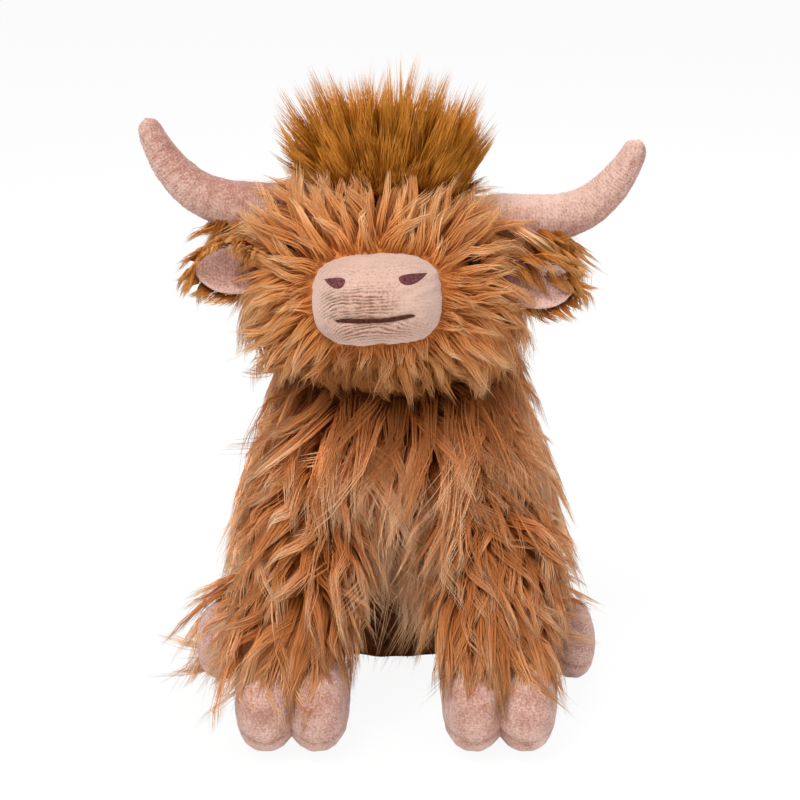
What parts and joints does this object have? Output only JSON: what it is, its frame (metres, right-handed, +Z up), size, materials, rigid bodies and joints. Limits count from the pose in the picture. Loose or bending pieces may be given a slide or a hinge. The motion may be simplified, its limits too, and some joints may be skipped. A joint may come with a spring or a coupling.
{
  "type": "plush highland cow",
  "caption": "Seated shaggy plush highland cow with a stuffed muzzle, soft horns, standing topknot, floppy ears, soft cloven hooves and springy sewn limbs",
  "frame": {"origin": "centre of the flat seat, on the surface the toy sits on", "axes": "+Z up, -Y the way the toy faces, +X its own left"},
  "size_m": [0.2485, 0.2795, 0.3092],
  "materials": {
    "coat": "long-pile ginger plush, matte with a soft sheen at the tips",
    "topknot_pile": "long standing ochre pile",
    "muzzle_nap": "short-nap pinky beige plush",
    "pink_nap": "short-nap pink plush",
    "embroidery": "satin-stitched brown thread",
    "eye_gloss": "glossy near-black",
    "washer_plastic": "plain moulded",
    "fibre_filling": "loose polyester fibre",
    "bag_cloth": "plain woven cotton"
  },
  "bodies": {
    "torso": {"body_skin": "coat", "body_filling": "fibre_filling", "pellet_bag": "bag_cloth"},
    "head": {"head_skin": "coat", "head_filling": "fibre_filling", "muzzle_skin": "muzzle_nap", "muzzle_filling": "fibre_filling", "nostril_left": "embroidery", "nostril_right": "embroidery", "mouth": "embroidery", "eye_left": "eye_gloss", "eye_right": "eye_gloss", "eye_washer_left": "washer_plastic", "eye_washer_right": "washer_plastic", "horn_left_skin": "pink_nap", "horn_left_filling": "fibre_filling", "horn_right_skin": "pink_nap", "horn_right_filling": "fibre_filling", "topknot": "topknot_pile"},
    "ear_left": {"ear_left_back": "coat", "ear_left_lining": "pink_nap"},
    "ear_right": {"ear_right_back": "coat", "ear_right_lining": "pink_nap"},
    "front_leg_left": {"front_leg_left_skin": "coat", "front_leg_left_filling": "fibre_filling", "front_hoof_left": "pink_nap"},
    "front_leg_right": {"front_leg_right_skin": "coat", "front_leg_right_filling": "fibre_filling", "front_hoof_right": "pink_nap"},
    "hind_leg_left": {"hind_leg_left_skin": "coat", "hind_leg_left_filling": "fibre_filling", "hind_hoof_left": "pink_nap"},
    "hind_leg_right": {"hind_leg_right_skin": "coat", "hind_leg_right_filling": "fibre_filling", "hind_hoof_right": "pink_nap"},
    "tail": {"tail_skin": "coat", "tail_tuft": "topknot_pile"}
  },
  "joints": [
    {"name": "neck_turn", "type": "hinge", "parent": "torso", "child": "head", "pos_m": [0, -0.048, 0.195], "axis": [0, 0, 1], "range_deg": [-15, 15], "stiffness_Nm_per_rad": 0.2},
    {"name": "ear_left_flop", "type": "hinge", "parent": "head", "child": "ear_left", "pos_m": [0.05621, -0.0862, 0.21647], "axis": [0, 1, 0], "range_deg": [-5, 30], "stiffness_Nm_per_rad": 0.02},
    {"name": "ear_right_flop", "type": "hinge", "parent": "head", "child": "ear_right", "pos_m": [-0.069, -0.07772, 0.22033], "axis": [0, 1, 0], "range_deg": [-30, 5], "stiffness_Nm_per_rad": 0.02},
    {"name": "front_leg_left_swing", "type": "hinge", "parent": "torso", "child": "front_leg_left", "pos_m": [0.042, -0.07702, 0.128], "axis": [1, 0, 0], "range_deg": [-45, 5], "stiffness_Nm_per_rad": 0.1},
    {"name": "front_leg_right_swing", "type": "hinge", "parent": "torso", "child": "front_leg_right", "pos_m": [-0.042, -0.07702, 0.128], "axis": [1, 0, 0], "range_deg": [-45, 5], "stiffness_Nm_per_rad": 0.1},
    {"name": "hind_leg_left_splay", "type": "hinge", "parent": "torso", "child": "hind_leg_left", "pos_m": [0.055, 0.01, 0.0245], "axis": [0, 0, 1], "range_deg": [-5, 25], "stiffness_Nm_per_rad": 0.1},
    {"name": "hind_leg_right_splay", "type": "hinge", "parent": "torso", "child": "hind_leg_right", "pos_m": [-0.055, 0.01, 0.0245], "axis": [0, 0, 1], "range_deg": [-25, 5], "stiffness_Nm_per_rad": 0.1},
    {"name": "tail_sweep", "type": "hinge", "parent": "torso", "child": "tail", "pos_m": [0, 0.06559, 0.046], "axis": [0, 0, 1], "range_deg": [-25, 25], "stiffness_Nm_per_rad": 0.02}
  ]
}
